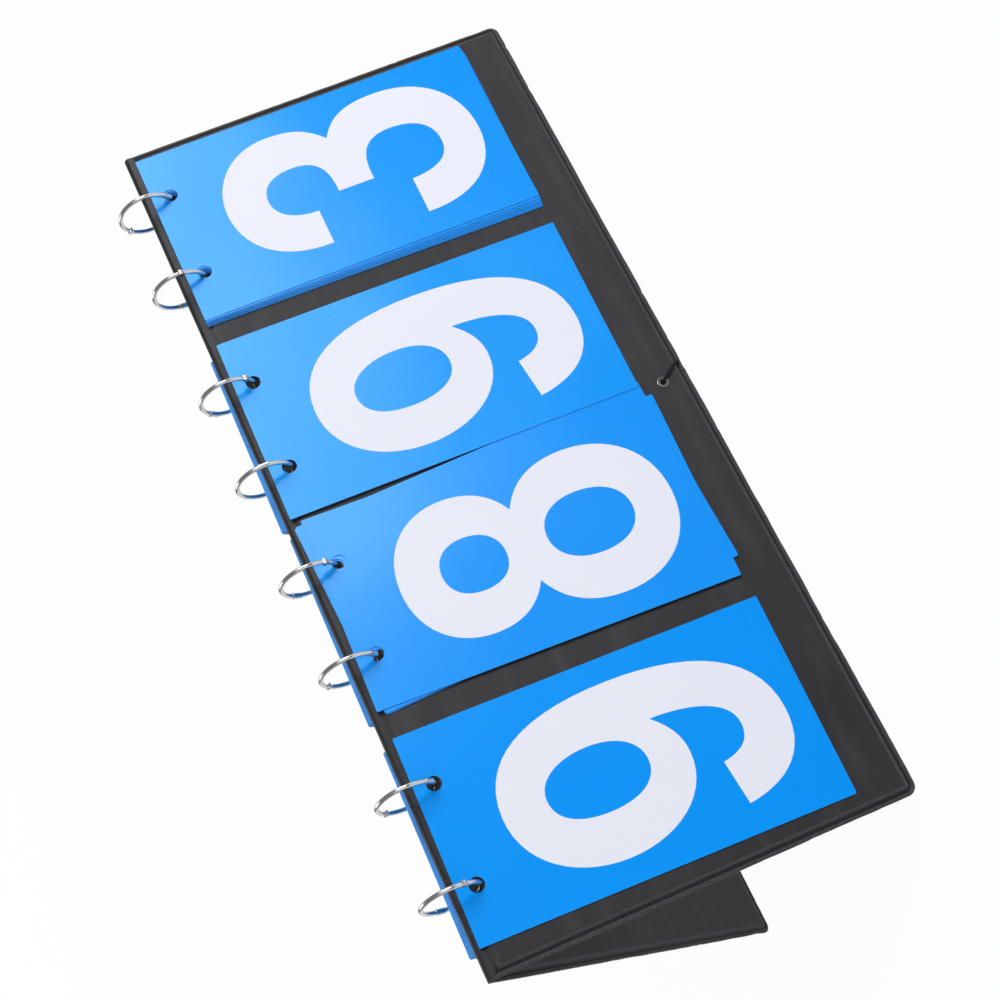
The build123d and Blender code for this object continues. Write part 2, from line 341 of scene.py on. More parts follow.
def vinyl_material():
    """Satin black vinyl, gently uneven over the board, with handling marks and a little dust.

    The mesh's UV x is 1 on a welded rim, where the vinyl is worn greyer. Its y is 1 in the sealing
    bar's groove, where shade is painted as a darker colour, and -1 on the rise over the board's edge,
    where a highlight is painted as a paler colour. Both are 0 elsewhere.
    """
    material, tree, shader, place = new_material("black_vinyl", Specular_IOR_Level=0.28)
    where = place.outputs["Object"]
    rubs = place_group(tree, RUB_MARKS, where, Scale=26.0, Stretch=12.0).outputs["Mask"]
    dust = place_group(tree, DUST, where, Scale=260.0, Coverage=0.05).outputs["Mask"]
    clouds = clouds_of(tree, where, 9.0, 3.0)
    slanted = add_node(
        tree, "Mapping", {"Vector": where, "Rotation": (0.0, 0.75, 0.0), "Scale": (1.0, 1.0, 5.0)}
    )
    drag = clouds_of(tree, slanted.outputs["Vector"], 22.0, 5.0)
    rim = add_node(tree, "SeparateXYZ", {"Vector": place.outputs["UV"]})
    grain = clouds_of(tree, where, 900.0, 2.0)

    tone = mix_colour(tree, clouds, VINYL_DEEP, VINYL_PALE)
    tone = mix_colour(tree, set_range(tree, drag, 0.0, 0.75, 0.5, 0.72), tone, VINYL_DRAGGED)
    tone = mix_colour(tree, set_range(tree, rubs, 0.0, 0.45), tone, VINYL_RUBBED)
    tone = mix_colour(tree, set_range(tree, dust, 0.0, 0.35), tone, VINYL_DUST)
    # Painted shade: darker colour in the sealing bar's groove, where UV y is 1.
    tone = mix_colour(tree, set_range(tree, rim.outputs["Y"], 0.0, 1.0), tone, GROOVE_PAINTED_SHADE)
    # Painted highlight: a paler band on the shoulder over the board's edge, where UV y is -1, varied by grain.
    shoulder = mix_colour(tree, grain, SHOULDER_HIGHLIGHT_DEEP, SHOULDER_HIGHLIGHT_PALE)
    tone = mix_colour(tree, set_range(tree, rim.outputs["Y"], 1.0, 0.0, -1.0, 0.0), tone, shoulder)
    worn_rim = mix_colour(tree, grain, RIM_DEEP, RIM_PALE)
    tone = mix_colour(tree, rim.outputs["X"], tone, worn_rim)
    tree.links.new(tone, shader.inputs["Base Color"])

    patches = set_range(tree, clouds, 0.43, 0.56, 0.3, 0.7)
    gloss = combine(tree, "ADD", patches, set_range(tree, rubs, 0.0, 0.12))
    tree.links.new(gloss, shader.inputs["Roughness"])
    waves = place_group(tree, WAVINESS, where, Scale=16.0, Fine_Scale=1500.0, Fine_Share=0.03)
    connect_bump(tree, shader, waves.outputs["Height"], 0.0012)
    return material


CARD_DUST = (0.35, 0.66, 1.0, 1)
CARD_SHEEN = (0.46, 0.72, 1.0, 1)
CUT_CARD_EDGE = (0.16, 0.50, 0.98, 1)


def card_material(name, offset, ink, gloss_level):
    """Glossy blue card, its cut edges a little duller; offset moves the sheet's own unevenness."""
    material, tree, shader, place = new_material(
        name, Specular_IOR_Level=gloss_level, Specular_Tint=CARD_SHEEN
    )
    apart = add_node(tree, "SeparateXYZ", {"Vector": place.outputs["Normal"]})
    facing = add_node(tree, "Math", {0: apart.outputs["Y"]}, operation="ABSOLUTE")
    edge = set_range(tree, facing.outputs["Value"], 1.0, 0.0, 0.6, 0.75)
    shifted = add_node(tree, "Mapping", {"Vector": place.outputs["Object"], "Location": offset})
    own = shifted.outputs["Vector"]
    dust = place_group(tree, DUST, own, Scale=150.0, Coverage=0.035).outputs["Mask"]
    printed = mix_colour(tree, set_range(tree, dust, 0.0, 0.55), ink, CARD_DUST)
    tree.links.new(mix_colour(tree, edge, printed, CUT_CARD_EDGE), shader.inputs["Base Color"])
    waves = place_group(tree, WAVINESS, own, Scale=11.0, Fine_Scale=1100.0, Fine_Share=0.006)
    gloss = set_range(tree, waves.outputs["Height"], 0.19, 0.25, 0.3, 0.7)
    tree.links.new(gloss, shader.inputs["Roughness"])
    connect_bump(tree, shader, waves.outputs["Height"], 0.0012)
    return material


PRINT_DEEP, PRINT_PALE = (0.80, 0.815, 0.90, 1), (0.82, 0.835, 0.92, 1)
PRINT_DUST = (0.6, 0.62, 0.68, 1)


def print_material():
    """White ink on the cards, a shade cooler than paper."""
    material, tree, shader, place = new_material("white_print", Specular_IOR_Level=0.12)
    where = place.outputs["Object"]
    waves = place_group(tree, WAVINESS, where, Scale=14.0, Fine_Scale=1100.0, Fine_Share=0.03)
    height = waves.outputs["Height"]
    dust = place_group(tree, DUST, where, Scale=180.0, Coverage=0.02).outputs["Mask"]
    tone = mix_colour(tree, height, PRINT_DEEP, PRINT_PALE)
    tone = mix_colour(tree, set_range(tree, dust, 0.0, 0.3), tone, PRINT_DUST)
    tree.links.new(tone, shader.inputs["Base Color"])
    tree.links.new(set_range(tree, height, 0.5, 0.6, 0.3, 0.7), shader.inputs["Roughness"])
    connect_bump(tree, shader, height, 0.0006)
    return material


def metal_material(name, bright, worn, smooth, rough):
    """Plated wire or eyelet: bright, with faint rubbing that dulls it in places."""
    material, tree, shader, place = new_material(name, Metallic=1.0)
    where = place.outputs["Object"]
    rubs = place_group(tree, RUB_MARKS, where, Scale=240.0, Stretch=5.0).outputs["Mask"]
    waves = place_group(tree, WAVINESS, where, Scale=180.0, Fine_Scale=1600.0, Fine_Share=0.1)
    tree.links.new(mix_colour(tree, rubs, bright, worn), shader.inputs["Base Color"])
    roughness = set_range(tree, waves.outputs["Height"], smooth, rough, 0.3, 0.8)
    tree.links.new(roughness, shader.inputs["Roughness"])
    connect_bump(tree, shader, waves.outputs["Height"], 0.00012)
    return material


CORD_DEEP, CORD_PALE = (0.008, 0.008, 0.0085, 1), (0.02, 0.0197, 0.021, 1)


def cord_material():
    """Braided black elastic cord: fine slanting ribs."""
    material, tree, shader, place = new_material(
        "black_cord", Roughness=0.7, Specular_IOR_Level=0.2
    )
    ribs = add_node(
        tree,
        "TexWave",
        {"Vector": place.outputs["UV"], "Scale": 1.0, "Distortion": 1.5, "Detail": 2.0},
        wave_type="BANDS",
        bands_direction="DIAGONAL",
    )
    tone = mix_colour(tree, ribs.outputs["Fac"], CORD_DEEP, CORD_PALE)
    tree.links.new(tone, shader.inputs["Base Color"])
    connect_bump(tree, shader, ribs.outputs["Fac"], 0.0002)
    return material


PULP_DEEP, PULP_PALE = (0.06, 0.055, 0.05, 1), (0.16, 0.15, 0.14, 1)


def board_material():
    """Grey pulp board, seen only inside the punched holes."""
    material, tree, shader, place = new_material("grey_board", Roughness=0.85)
    pulp = clouds_of(tree, place.outputs["Object"], 700.0, 5.0)
    tree.links.new(mix_colour(tree, pulp, PULP_DEEP, PULP_PALE), shader.inputs["Base Color"])
    connect_bump(tree, shader, pulp, 0.0002)
    return material


VINYL = vinyl_material()
CARD_LOOKS = {
    "left_tens": {"offset": (0.3, 0.0, 0.1), "green": 0.305, "gloss_level": 0.38},
    "left_units": {"offset": (0.0, 0.4, 0.7), "green": 0.30, "gloss_level": 0.62},
    "right_tens": {"offset": (1.1, 0.2, 0.0), "green": 0.315, "gloss_level": 0.54},
    "right_units": {"offset": (0.6, 1.3, 0.2), "green": 0.31, "gloss_level": 0.54},
}
CARDS = {
    stack: card_material(
        f"blue_card_{stack}", look["offset"], (0.0, look["green"], 0.95, 1), look["gloss_level"]
    )
    for stack, look in CARD_LOOKS.items()
}
PRINT = print_material()
RING_STEEL = metal_material(
    "ring_steel_bright", (0.60, 0.595, 0.59, 1), (0.42, 0.415, 0.41, 1), 0.14, 0.26
)
EYELET_METAL = metal_material(
    "eyelet_nickel", (0.30, 0.29, 0.275, 1), (0.2, 0.195, 0.185, 1), 0.1, 0.2
)
CORD = cord_material()
BOARD = board_material()

SLOT_MATERIALS = {
    "vinyl": VINYL,
    "board": BOARD,
    "cord": CORD,
    "eyelet_metal": EYELET_METAL,
    "ring_steel": RING_STEEL,
}
for subpart in frame["record"]["subparts"]:
    node = nodes[subpart["node"]]
    stack = next((name for name in STACKS if subpart["node"].startswith(name)), None)
    slot = subpart["material_slot"]
    look = CARDS[stack] if slot == "card" else SLOT_MATERIALS[slot]
    node.data.materials.clear()
    node.data.materials.append(look)


# ---- Pieces ---------------------------------------------------------------------------------


def add_piece(name, mesh, material, smooth_angle=None):
    """Link a finished mesh as a piece with its material and finish."""
    mesh.materials.append(material)
    piece = bpy.data.objects.new(name, mesh)
    bpy.context.scene.collection.objects.link(piece)
    if smooth_angle is not None:
        mesh.shade_smooth()
        mesh.set_sharp_from_angle(angle=math.radians(smooth_angle))
    return piece


def bmesh_to_mesh(form, name):
    bmesh.ops.recalc_face_normals(form, faces=form.faces)
    mesh = bpy.data.meshes.new(name)
    form.to_mesh(mesh)
    form.free()
    return mesh


WANDER_SLOW, WANDER_QUICK, WANDER_NICKS = 0.045, 0.21, 0.37


def edge_wander(x, y, amount):
    """How far a hand-trimmed edge wanders at a place on the page."""
    slow = noise.noise(Vector((x * WANDER_SLOW, y * WANDER_SLOW, 3.1)))
    quick = noise.noise(Vector((x * WANDER_QUICK, y * WANDER_QUICK, 8.7)))
    nicks = max(noise.noise(Vector((x * WANDER_NICKS, y * WANDER_NICKS, 4.3))) - 0.25, 0.0)
    return amount * (slow + 0.35 * quick + 1.6 * nicks)


CORNER_STEPS, LONG_STEPS, SHORT_STEPS = 6, 170, 76


def rounded_outline(inset, bottom_corner, top_corner):
    """A panel-shaped loop drawn in by inset, always with the same number of points.

    Each point is (x, y, on_fold): on_fold is 1 along the edge at the fold.
    """
    half = PANEL_LENGTH_MM / 2 - inset
    top, bottom = -inset, -PANEL_HEIGHT_MM + inset
    corners = [
        (-half, bottom, bottom_corner, math.pi),
        (half, bottom, bottom_corner, 1.5 * math.pi),
        (half, top, top_corner, 0.0),
        (-half, top, top_corner, 0.5 * math.pi),
    ]
    arcs = []
    for x, y, radius, start in corners:
        centre_x = x - math.copysign(radius, x)
        centre_y = y + radius if y == bottom else y - radius
        arc = []
        for step in range(CORNER_STEPS + 1):
            angle = start + step * math.pi / 2 / CORNER_STEPS
            arc.append((centre_x + radius * math.cos(angle), centre_y + radius * math.sin(angle)))
        arcs.append(arc)
    loop = []
    for index, arc in enumerate(arcs):
        (x0, y0), (x1, y1) = arc[-1], arcs[(index + 1) % 4][0]
        steps = LONG_STEPS if index % 2 == 0 else SHORT_STEPS
        loop += arc
        for step in range(1, steps):
            share = step / steps
            loop.append((x0 + share * (x1 - x0), y0 + share * (y1 - y0)))
    return [(x, y, 1.0 if y > top - 1e-6 else 0.0) for x, y in loop]


# The cover's section from its trimmed edge inwards, as (inset, height above the weld): a flat
# welded rim with the sealing bar's groove, then the rise over the board's edge to its face.
COVER_SECTION = [
    (0.00, 0.00),
    (0.00, 0.30),
    (0.10, 0.43),
    (0.30, 0.50),
    (1.00, 0.54),
    (1.30, 0.46),
    (1.55, 0.28),
    (1.80, 0.22),
    (2.05, 0.26),
    (2.30, 0.44),
    (2.55, 0.74),
    (2.85, 1.06),
    (3.20, 1.29),
    (3.60, 1.42),
    (4.20, 1.48),
    (5.20, 1.50),
    (6.20, 1.50),
    (7.20, 1.50),
]
COVER_UNDERSIDE = [(7.20, 1.00), (4.00, 1.00), (3.70, 0.60), (3.40, 0.00), (0.60, 0.00)]
FOLD_SLOPE_MM = 5.2
RIM_WEAR_MM = 1.1
# Insets of the groove, where shade is painted as a darker colour.
GROOVE_SHADE_MM = (1.4, 2.2)
# Insets of the shoulder over the board's edge, where a highlight is painted as a paler colour.
SHOULDER_HIGHLIGHT_MM = (2.7, 3.7)
TRIM_MM = 1.0
TRIM_WANDER_MM, TRIM_SHRINK_MM = 0.32, -0.1
TRIM_REACH_MM = 4.5
SWELL_MM, SWELL_PITCH, SWELL_SPAN_MM = 0.03, 0.12, (0.5, 3.2)
FACE_CORNER_MM = 0.8
FOLD_CORNER_MM, RISE_CORNER_MM, RISE_INSET_MM = 0.02, 1.6, 2.2
HOLE_LIP_MM = 0.12


def fold_height(inset):
    """The sheet's height beside the fold: a plain slope from the spine up to the board's face."""
    share = min(inset / FOLD_SLOPE_MM, 1.0)
    eased = share * share * (3 - 2 * share)
    return VINYL_MM + (PANEL_HALF_MM - VINYL_MM) * eased


def bridge_loops(form, first, second):
    count = len(first)
    for i in range(count):
        form.faces.new((first[i], first[(i + 1) % count], second[(i + 1) % count], second[i]))


def hole_ring(form, x, y, radius, height, points=40):
    return [
        form.verts.new(
            (
                x + radius * math.cos(2 * math.pi * i / points),
                y + radius * math.sin(2 * math.pi * i / points),
                height,
            )
        )
        for i in range(points)
    ]


def loop_edges(form, loop):
    count = len(loop)
    found = []
    for i in range(count):
        pair = (loop[i], loop[(i + 1) % count])
        found.append(form.edges.get(pair) or form.edges.new(pair))
    return found


def cover_mesh(side, layer):
    """One vinyl sheet of a panel: welded rim, rise over the board's edge, punched flat face."""
    face_sign = 1 if layer == "outer" else -1
    reader = 1 if side == "front" else -1
    form = bmesh.new()
    rim_wear = form.loops.layers.uv.new("rim_wear")
    loops = []
    worn, groove_shade_verts, highlight_band_verts = set(), set(), set()
    section = COVER_SECTION + COVER_UNDERSIDE
    for index, (inset, height) in enumerate(section):
        on_rim = inset < TRIM_MM
        swells = SWELL_SPAN_MM[0] < inset < SWELL_SPAN_MM[1]
        bottom_corner = max(PANEL_CORNER_MM - inset, FACE_CORNER_MM)
        top_corner = FOLD_CORNER_MM if inset < RISE_INSET_MM else RISE_CORNER_MM
        loop = []
        for x, y, on_fold in rounded_outline(inset, bottom_corner, top_corner):
            z = height
            if on_fold and 0 < index < len(COVER_SECTION):
                z = fold_height(inset)
            if on_rim and not on_fold:
                wander = edge_wander(x, y, TRIM_WANDER_MM) * (1 - inset)
                wander = max(wander, TRIM_SHRINK_MM)
                if abs(x) > PANEL_LENGTH_MM / 2 - TRIM_REACH_MM:
                    x -= math.copysign(wander, x)
                if y < -PANEL_HEIGHT_MM + TRIM_REACH_MM:
                    y += wander
            if swells:
                z += SWELL_MM * noise.noise(Vector((x * SWELL_PITCH, y * SWELL_PITCH, 1.0)))
            vert = form.verts.new((x, y, z))
            if index < len(COVER_SECTION) and not on_fold:
                if inset < RIM_WEAR_MM:
                    worn.add(vert)
                # Painted shade in the groove.
                elif GROOVE_SHADE_MM[0] < inset < GROOVE_SHADE_MM[1]:
                    groove_shade_verts.add(vert)
                # Painted highlight on the shoulder.
                elif SHOULDER_HIGHLIGHT_MM[0] < inset < SHOULDER_HIGHLIGHT_MM[1]:
                    highlight_band_verts.add(vert)
            loop.append(vert)
        loops.append(loop)
    for first, second in zip(loops, loops[1:]):
        if first is loops[len(COVER_SECTION) - 1]:
            continue
        bridge_loops(form, first, second)
    bridge_loops(form, loops[-1], loops[0])
    holes = [(reader * x, -PANEL_HOLE_DROP_MM, PANEL_HOLE_MM) for x in RING_X_MM]
    holes.append((0.0, -EYELET_DROP_MM, EYELET_HOLE_MM))
    face_edges = loop_edges(form, loops[len(COVER_SECTION) - 1])
    back_edges = loop_edges(form, loops[len(COVER_SECTION)])
    for x, y, radius in holes:
        lip = hole_ring(form, x, y, radius + HOLE_LIP_MM, PANEL_HALF_MM)
        wall_top = hole_ring(form, x, y, radius, PANEL_HALF_MM - HOLE_LIP_MM)
        wall_foot = hole_ring(form, x, y, radius, BOARD_MM / 2)
        bridge_loops(form, lip, wall_top)
        bridge_loops(form, wall_top, wall_foot)
        face_edges += loop_edges(form, lip)
        back_edges += loop_edges(form, wall_foot)
    for edges in (face_edges, back_edges):
        bmesh.ops.triangle_fill(form, use_beauty=True, use_dissolve=False, edges=edges)
    for face in form.faces:
        for corner in face.loops:
            vert = corner.vert
            # UV x marks the worn rim; y is 1 for painted shade in the groove and -1 for a painted highlight on the
            # rise over the board's edge.
            corner[rim_wear].uv = (vert in worn, (vert in groove_shade_verts) - (vert in highlight_band_verts))
    page = page_frame(side)
    for vert in form.verts:
        vert.co.z *= face_sign
        vert.co = page @ vert.co
        vert.co.z = max(vert.co.z, 0.0)
    return bmesh_to_mesh(form, f"{side}_{layer}_cover")


for side in ("front", "back"):
    for layer in ("outer", "inner"):
        cover = add_piece(f"{side}_{layer}_cover", cover_mesh(side, layer), VINYL, 40)
        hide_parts(f"{side}_{layer}_vinyl")
        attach(cover, f"{side}_panel")


SPINE_ARC_STEPS, SPINE_STEPS = 26, 96
SPINE_SLACK_MM = 0.10
SPINE_CREASE_MM, SPINE_CREASE_SHARE = 0.10, 0.035
SPINE_END_WANDER_MM = 0.25


def spine_mesh():
    """The folded strip of both sheets between the panels, with a faint crease along its crown."""
    half_length = PANEL_LENGTH_MM / 2
    ends = (-math.pi / 2 + LEAN, math.pi / 2 - LEAN)
    form = bmesh.new()
    rings = []
    for step in range(SPINE_STEPS + 1):
        x = -half_length + 2 * half_length * step / SPINE_STEPS
        section = []
        for radius, order in (
            (HINGE_OFFSET_MM + VINYL_MM, range(SPINE_ARC_STEPS + 1)),
            (HINGE_OFFSET_MM - VINYL_MM, range(SPINE_ARC_STEPS, -1, -1)),
        ):
            for i in order:
                share = i / SPINE_ARC_STEPS
                angle = ends[0] + share * (ends[1] - ends[0])
                lift = 0.0
                if radius > HINGE_OFFSET_MM:
                    slack = math.sin(math.pi * share) ** 2
                    ripple = noise.noise(Vector((x * 0.05, share * 2.0, 5.0)))
                    crease = math.exp(-(((share - 0.5) / SPINE_CREASE_SHARE) ** 2))
                    lift = SPINE_SLACK_MM * slack * ripple
                    lift -= SPINE_CREASE_MM * crease
                y = (radius + lift) * math.sin(angle)
                z = HINGE_HEIGHT_MM + (radius + lift) * math.cos(angle)
                wander = 0.0
                if step in (0, SPINE_STEPS):
                    wander = edge_wander(x, 40 * share, SPINE_END_WANDER_MM)
                trimmed = x - math.copysign(max(wander, 0), x)
                section.append(form.verts.new((trimmed * MM, y * MM, z * MM)))
        rings.append(section)
    for first, second in zip(rings, rings[1:]):
        bridge_loops(form, first, second)
    form.faces.new(rings[0])
    form.faces.new(rings[-1])
    return bmesh_to_mesh(form, "spine_fold")


spine = add_piece("spine_fold", spine_mesh(), VINYL, 50)
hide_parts("spine_strip")
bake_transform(spine)


# ---- Numerals -------------------------------------------------------------------------------
# Each numeral is closed outlines in millimetres, x from its middle and y down from its top. An
# outline starts at a point; two more numbers are a straight edge's end, six are a curve's two
# handles and its end.
NUMERALS = {
    0: [
        [
            (0, 0),
            (20.5, 0, 32.6, -21, 32.6, -56.7),
            (32.6, -92.4, 20.5, -113.4, 0, -113.4),
            (-20.5, -113.4, -32.6, -92.4, -32.6, -56.7),
            (-32.6, -21, -20.5, 0, 0, 0),
        ],
        [
            (0, -17.2),
            (9.6, -17.2, 13.8, -31, 13.8, -56.7),
            (13.8, -82.4, 9.6, -96.2, 0, -96.2),
            (-9.6, -96.2, -13.8, -82.4, -13.8, -56.7),
            (-13.8, -31, -9.6, -17.2, 0, -17.2),
        ],
    ],
    2: [
        [
            (-31.6, -40),
            (-32.4, -15.5, -19.5, 0, 0.6, 0),
            (19.8, 0, 32.2, -13.2, 32.2, -32.8),
            (32.2, -48.5, 25.2, -58.2, 10.6, -69.2),
            (-1.6, -78.4, -8.2, -84.2, -10.4, -95.4),
            (32.0, -95.4),
            (32.0, -113.4),
            (-33.0, -113.4),
            (-32.9, -88.2, -23.6, -74.6, -5.4, -60.6),
            (7.4, -50.8, 13.0, -44.4, 13.0, -33.6),
            (13.0, -23.8, 8.0, -17.4, 0.2, -17.4),
            (-9.2, -17.4, -14.0, -25.2, -14.0, -40),
            (-31.6, -40),
        ]
    ],
    3: [
        [
            (-0.5, 0),
            (16.2, 0, 29.2, -12, 29.2, -28.2),
            (29.2, -40.6, 26.2, -45.4, 19.0, -51.9),
            (28.9, -57.0, 32.8, -65.0, 32.8, -79.2),
            (32.8, -100.4, 18.4, -113.4, -1.3, -113.4),
            (-22.0, -113.4, -33.0, -99.3, -32.8, -78.0),
            (-14.8, -77.8),
            (-13.9, -91.4, -9.2, -96.4, -1.1, -96.4),
            (8.4, -96.4, 13.3, -89.4, 13.3, -78.9),
            (13.3, -66.6, 5.9, -62.0, -8.1, -63.0),
            (-8.2, -47.1),
            (4.6, -47.4, 10.4, -43.0, 10.4, -33.3),
            (10.4, -24.6, 6.8, -18.0, -1.3, -18.0),
            (-9.6, -18.0, -13.9, -24.9, -14.2, -35.9),
            (-31.3, -36.1),
            (-32.2, -14.3, -20.0, 0, -0.5, 0),
        ]
    ],
    4: [
        [
            (5.2, -1.0),
            (23.4, -1.0),
            (23.4, -71.2),
            (33.4, -71.2),
            (33.4, -88.0),
            (23.4, -88.0),
            (23.4, -113.4),
            (5.0, -113.4),
            (5.0, -88.0),
            (-33.4, -88.0),
            (-33.4, -69.6),
            (5.2, -1.0),
        ],
        [(5.0, -28.6), (5.0, -71.2), (-18.8, -71.2), (5.0, -28.6)],
    ],
    7: [
        [
            (-32.4, -1.0),
            (32.4, -1.0),
            (32.4, -17.4),
            (13.6, -41.0, 1.6, -76.0, -2.4, -113.4),
            (-22.6, -113.4),
            (-18.8, -79.0, -6.4, -45.6, 11.6, -19.0),
            (-32.4, -19.0),
            (-32.4, -1.0),
        ]
    ],
    8: [
        [
            (-0.4, 0),
            (18.9, 0, 29.8, -12.8, 29.8, -28.0),
            (29.8, -40.0, 24.4, -47.2, 16.2, -51.7),
            (25.4, -56.1, 32.8, -64.4, 32.8, -80.4),
            (32.8, -99.6, 19.8, -113.4, 0, -113.4),
            (-19.8, -113.4, -32.8, -99.6, -32.8, -80.4),
            (-32.8, -64.4, -25.4, -56.1, -16.2, -51.7),
            (-24.8, -47.2, -30.2, -40.0, -30.2, -28.0),
            (-30.2, -12.8, -19.5, 0, -0.4, 0),
        ],
        [
            (-0.4, -17.0),
            (7.2, -17.0, 11.7, -22.3, 11.7, -30.2),
            (11.7, -38.6, 7.0, -43.8, -0.4, -43.8),
            (-7.8, -43.8, -12.2, -38.6, -12.2, -30.2),
            (-12.2, -22.3, -7.7, -17.0, -0.4, -17.0),
        ],
        [
            (0, -60.7),
            (8.2, -60.7, 14.0, -67.6, 14.0, -78.3),
            (14.0, -89.5, 8.6, -96.7, 0, -96.7),
            (-8.6, -96.7, -14.0, -89.5, -14.0, -78.3),
            (-14.0, -67.6, -8.2, -60.7, 0, -60.7),
        ],
    ],
    9: [
        [
            (-1.6, 0),
            (22.4, 0, 33.0, -22.1, 33.0, -55.5),
            (33.0, -89.8, 21.8, -113.4, -3.0, -113.4),
            (-19.4, -113.4, -28.5, -103.3, -30.9, -85.7),
            (-12.8, -83.5),
            (-11.4, -92.5, -7.4, -95.8, -1.6, -95.8),
            (8.6, -95.8, 13.1, -81.8, 13.2, -64.9),
            (9.0, -69.4, 4.0, -73.7, -4.5, -73.7),
            (-21.7, -73.7, -33.0, -56.5, -33.0, -37.2),
            (-33.0, -16.8, -20.8, 0, -1.6, 0),
        ],
        [
            (-1.6, -17.5),
            (6.6, -17.5, 12.0, -27.1, 12.0, -38.9),
            (12.0, -50.9, 6.7, -58.3, -1.2, -58.3),
            (-9.7, -58.3, -14.4, -49.5, -14.4, -37.5),
            (-14.4, -25.3, -10.0, -17.5, -1.6, -17.5),
        ],
    ],
}
NUMERAL_TOP_MM = -17.3
USUAL_PRINT_SHIFT_MM = -0.8
PRINT_MM = 0.025
PRINT_ROOT_MM = 0.01


def drawn_mesh(name, curve):
    """The mesh that a curve draws; the curve is used up."""
    drawn = bpy.data.objects.new(name, curve)
    bpy.context.scene.collection.objects.link(drawn)
    graph = bpy.context.evaluated_depsgraph_get()
    mesh = bpy.data.meshes.new_from_object(drawn.evaluated_get(graph))
    bpy.data.objects.remove(drawn)
    bpy.data.curves.remove(curve)
    return mesh


def numeral_mesh(digit, name):
    """A numeral as a thin closed slab of ink, its base a hair inside the card's face."""
    outline = bpy.data.curves.new(name, "CURVE")
    outline.dimensions = "2D"
    outline.fill_mode = "BOTH"
    outline.resolution_u = 14
    for path in NUMERALS[digit]:
        corners = []
        for step in path:
            end = Vector(step[-2:])
            if len(step) == 6:
                corners[-1]["right"] = Vector(step[0:2])
                corners.append({"co": end, "left": Vector(step[2:4]), "right": end})
            else:
                corners.append({"co": end, "left": end, "right": end})
        corners[0]["left"] = corners.pop()["left"]
        spline = outline.splines.new("BEZIER")
        spline.bezier_points.add(len(corners) - 1)
        spline.use_cyclic_u = True
        for point, corner in zip(spline.bezier_points, corners):
            point.handle_left_type = point.handle_right_type = "FREE"
            point.co = (*corner["co"], 0)
            point.handle_left = (*corner["left"], 0)
            point.handle_right = (*corner["right"], 0)
    outline.extrude = (PRINT_MM + PRINT_ROOT_MM) / 2
    mesh = drawn_mesh(name, outline)
    form = bmesh.new()
    form.from_mesh(mesh)
    bpy.data.meshes.remove(mesh)
    bmesh.ops.remove_doubles(form, verts=form.verts, dist=0.001)
    return bmesh_to_mesh(form, name)


def print_numeral(name, digit, side, stack, place, outward, body):
    """Print a numeral on a card's outward or inward face."""
    mesh = numeral_mesh(digit, name)
    shown = (side, outward) == ("front", True) and place == stack["front"]
    shift_x, shift_y, print_turn = stack["print"] if shown else (0, USUAL_PRINT_SHIFT_MM, 0)
    mid_height = CARD_MM / 2 + (PRINT_MM - PRINT_ROOT_MM) / 2
    turn = Matrix.Identity(4) if outward else Matrix.Rotation(math.pi, 4, "Y")
    shift = Matrix.Translation((shift_x, NUMERAL_TOP_MM + shift_y, mid_height))
    skew = Matrix.Rotation(math.radians(print_turn), 4, "Z")
    mesh.transform(card_frame(side, stack, place) @ turn @ shift @ skew)
    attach(add_piece(name, mesh, PRINT), body)


for name, stack in STACKS.items():
    shown = stack["shows"]
    for side, outward_digit, inward_digit in (
        ("front", shown, (shown + 1) % 10),
        ("back", shown, shown - 1),
    ):
        card = f"{name}_{side}_card"
        place = stack[side]
        print_numeral(f"{card}_numeral", outward_digit, side, stack, place, True, card)
        print_numeral(f"{card}_reverse_numeral", inward_digit, side, stack, place, False, card)
        pile = f"{side}_pile"
        if pile in stack:
            label, panel = f"{name}_{pile}_numeral", f"{side}_panel"
            print_numeral(label, inward_digit, side, stack, stack[pile], True, panel)


# ---- Stay cord ------------------------------------------------------------------------------


def cord_route():
    """The cord's route from the front knot round the foot and across to the back knot."""
    page_points = [
        (0.0, -EYELET_DROP_MM, -EYELET_FACE_MM),
        (0.0, -EYELET_DROP_MM, 2.8),
        (CORD_NOTCH_MM - 2.0, -EYELET_DROP_MM - 6.7, 2.3),
        (CORD_NOTCH_MM, -PANEL_HEIGHT_MM + 1.4, 1.3),
        (CORD_NOTCH_MM, -PANEL_HEIGHT_MM + 1.4, -0.9),
    ]
    front = [page_frame("front") @ Vector(point) for point in page_points]
    return front + [Vector((-p.x, -p.y, p.z)) for p in reversed(front)]


def smooth_line(name, points, closed=False):
    """Points along a NURBS spline through the route's control points."""
    line = bpy.data.curves.new(name, "CURVE")
    line.dimensions = "3D"
    line.resolution_u = 12
    spline = line.splines.new("NURBS")
    spline.points.add(len(points) - 1)
    for control, point in zip(spline.points, points):
        control.co = (*point, 1)
    spline.order_u = 3
    spline.use_endpoint_u = not closed
    spline.use_cyclic_u = closed
    mesh = drawn_mesh(name, line)
    found = [vert.co.copy() for vert in mesh.vertices]
    bpy.data.meshes.remove(mesh)
    return found


